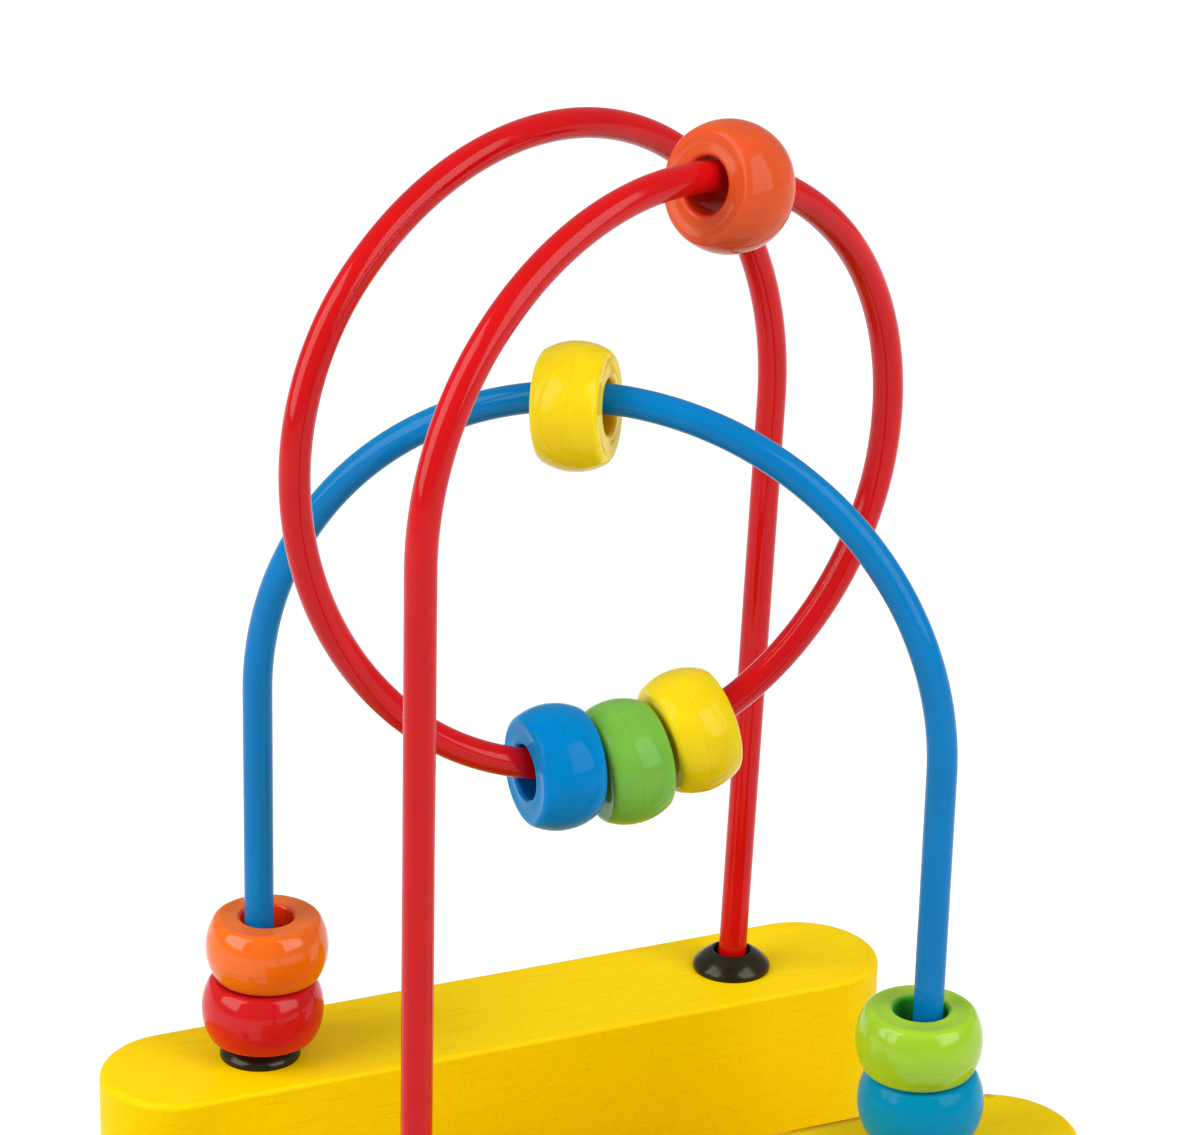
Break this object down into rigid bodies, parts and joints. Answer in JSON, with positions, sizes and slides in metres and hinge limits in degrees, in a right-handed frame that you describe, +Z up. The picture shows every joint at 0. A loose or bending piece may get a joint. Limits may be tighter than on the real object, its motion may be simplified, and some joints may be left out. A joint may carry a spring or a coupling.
{
  "type": "bead maze wagon of an activity train",
  "caption": "Wooden toy train wagon with a bead maze: coloured beads slide on looping red and blue wires over yellow side boards, on turning wheels with a coupling.",
  "frame": {"origin": "on the ground under the middle of the wagon, at the bottom centre of its bounding box", "axes": "+X along the boards from the coupling peg to the link, +Y to the rear board, +Z up"},
  "size_m": [0.182, 0.1256, 0.2106],
  "materials": {
    "yellow_board": "satin yellow paint over fine-grained wood",
    "bare_wood": "fine-sanded bare beech",
    "peg_wood": "turned bare beech",
    "red_wheel": "gloss red paint over turned wood",
    "black_bush": "moulded, glossy",
    "red_coating": "smooth glossy coating",
    "blue_coating": "smooth glossy coating",
    "core_steel": "drawn steel wire",
    "bead_red": "moulded, glossy",
    "bead_orange": "moulded, glossy",
    "bead_vermilion": "moulded, glossy",
    "bead_yellow": "moulded, glossy",
    "bead_lime": "moulded, glossy",
    "bead_green": "moulded, glossy",
    "bead_blue": "moulded, glossy",
    "bead_teal": "moulded, glossy"
  },
  "bodies": {
    "wagon": {"side_board_rear": "yellow_board", "side_board_front": "yellow_board", "floor_board": "bare_wood", "floor_dowels": "bare_wood", "bush_rear_left": "black_bush", "bush_rear_right": "black_bush", "bush_front_left": "black_bush", "bush_front_right": "black_bush", "red_wire_sleeve": "red_coating", "red_wire_core": "core_steel", "blue_wire_sleeve": "blue_coating", "blue_wire_core": "core_steel", "axle_peg_rear_left": "peg_wood", "axle_peg_rear_right": "peg_wood", "axle_peg_front_left": "peg_wood", "axle_peg_front_right": "peg_wood", "link_pivot_peg": "peg_wood", "coupling_peg": "peg_wood"},
    "bead_rear_stack_lower": {"bead_rear_stack_lower": "bead_red"},
    "bead_rear_stack_upper": {"bead_rear_stack_upper": "bead_orange"},
    "bead_front_stack_lower": {"bead_front_stack_lower": "bead_teal"},
    "bead_front_stack_upper": {"bead_front_stack_upper": "bead_lime"},
    "bead_loop_left": {"bead_loop_left": "bead_blue"},
    "bead_loop_middle": {"bead_loop_middle": "bead_green"},
    "bead_loop_right": {"bead_loop_right": "bead_yellow"},
    "bead_red_arch": {"bead_red_arch": "bead_vermilion"},
    "bead_blue_arch": {"bead_blue_arch": "bead_yellow"},
    "wheel_rear_left": {"wheel_rear_left": "red_wheel"},
    "wheel_rear_right": {"wheel_rear_right": "red_wheel"},
    "wheel_front_left": {"wheel_front_left": "red_wheel"},
    "wheel_front_right": {"wheel_front_right": "red_wheel"},
    "coupling_link": {"coupling_link": "bare_wood"}
  },
  "joints": [
    {"name": "rear_stack_lower_slide", "type": "slide", "parent": "wagon", "child": "bead_rear_stack_lower", "axis": [0, 0, 1], "range_m": [0, 0.018]},
    {"name": "rear_stack_upper_slide", "type": "slide", "parent": "bead_rear_stack_lower", "child": "bead_rear_stack_upper", "axis": [0, 0, 1], "range_m": [0, 0.02]},
    {"name": "front_stack_lower_slide", "type": "slide", "parent": "wagon", "child": "bead_front_stack_lower", "axis": [0, 0, 1], "range_m": [0, 0.018]},
    {"name": "front_stack_upper_slide", "type": "slide", "parent": "bead_front_stack_lower", "child": "bead_front_stack_upper", "axis": [0, 0, 1], "range_m": [0, 0.02]},
    {"name": "loop_middle_travel", "type": "hinge", "parent": "wagon", "child": "bead_loop_middle", "pos_m": [0, 0, 0.15435], "axis": [0, -1, 0], "range_deg": [-20, 20]},
    {"name": "loop_left_travel", "type": "hinge", "parent": "bead_loop_middle", "child": "bead_loop_left", "pos_m": [0, 0, 0.15435], "axis": [0, -1, 0], "range_deg": [-36, 0]},
    {"name": "loop_right_travel", "type": "hinge", "parent": "bead_loop_middle", "child": "bead_loop_right", "pos_m": [0, 0, 0.15435], "axis": [0, -1, 0], "range_deg": [0, 36]},
    {"name": "red_arch_travel", "type": "hinge", "parent": "wagon", "child": "bead_red_arch", "pos_m": [0.00357, -0.01629, 0.1541], "axis": [0.3477, -0.9376, 0], "range_deg": [-62, 75]},
    {"name": "blue_arch_travel", "type": "hinge", "parent": "wagon", "child": "bead_blue_arch", "pos_m": [0, 0, 0.114], "axis": [-0.6224, -0.7827, 0], "range_deg": [-72, 70]},
    {"name": "link_swing", "type": "hinge", "parent": "wagon", "child": "coupling_link", "pos_m": [0.049, 0, 0.0223], "axis": [0, 0, 1], "range_deg": [-35, 35]},
    {"name": "wheel_rear_left_spin", "type": "hinge", "parent": "wagon", "child": "wheel_rear_left", "pos_m": [-0.042, 0.0525, 0.019], "axis": [0, 1, 0], "continuous": true},
    {"name": "wheel_rear_right_spin", "type": "hinge", "parent": "wagon", "child": "wheel_rear_right", "pos_m": [0.042, 0.0525, 0.019], "axis": [0, 1, 0], "continuous": true},
    {"name": "wheel_front_left_spin", "type": "hinge", "parent": "wagon", "child": "wheel_front_left", "pos_m": [-0.042, -0.0525, 0.019], "axis": [0, 1, 0], "continuous": true},
    {"name": "wheel_front_right_spin", "type": "hinge", "parent": "wagon", "child": "wheel_front_right", "pos_m": [0.042, -0.0525, 0.019], "axis": [0, 1, 0], "continuous": true}
  ]
}
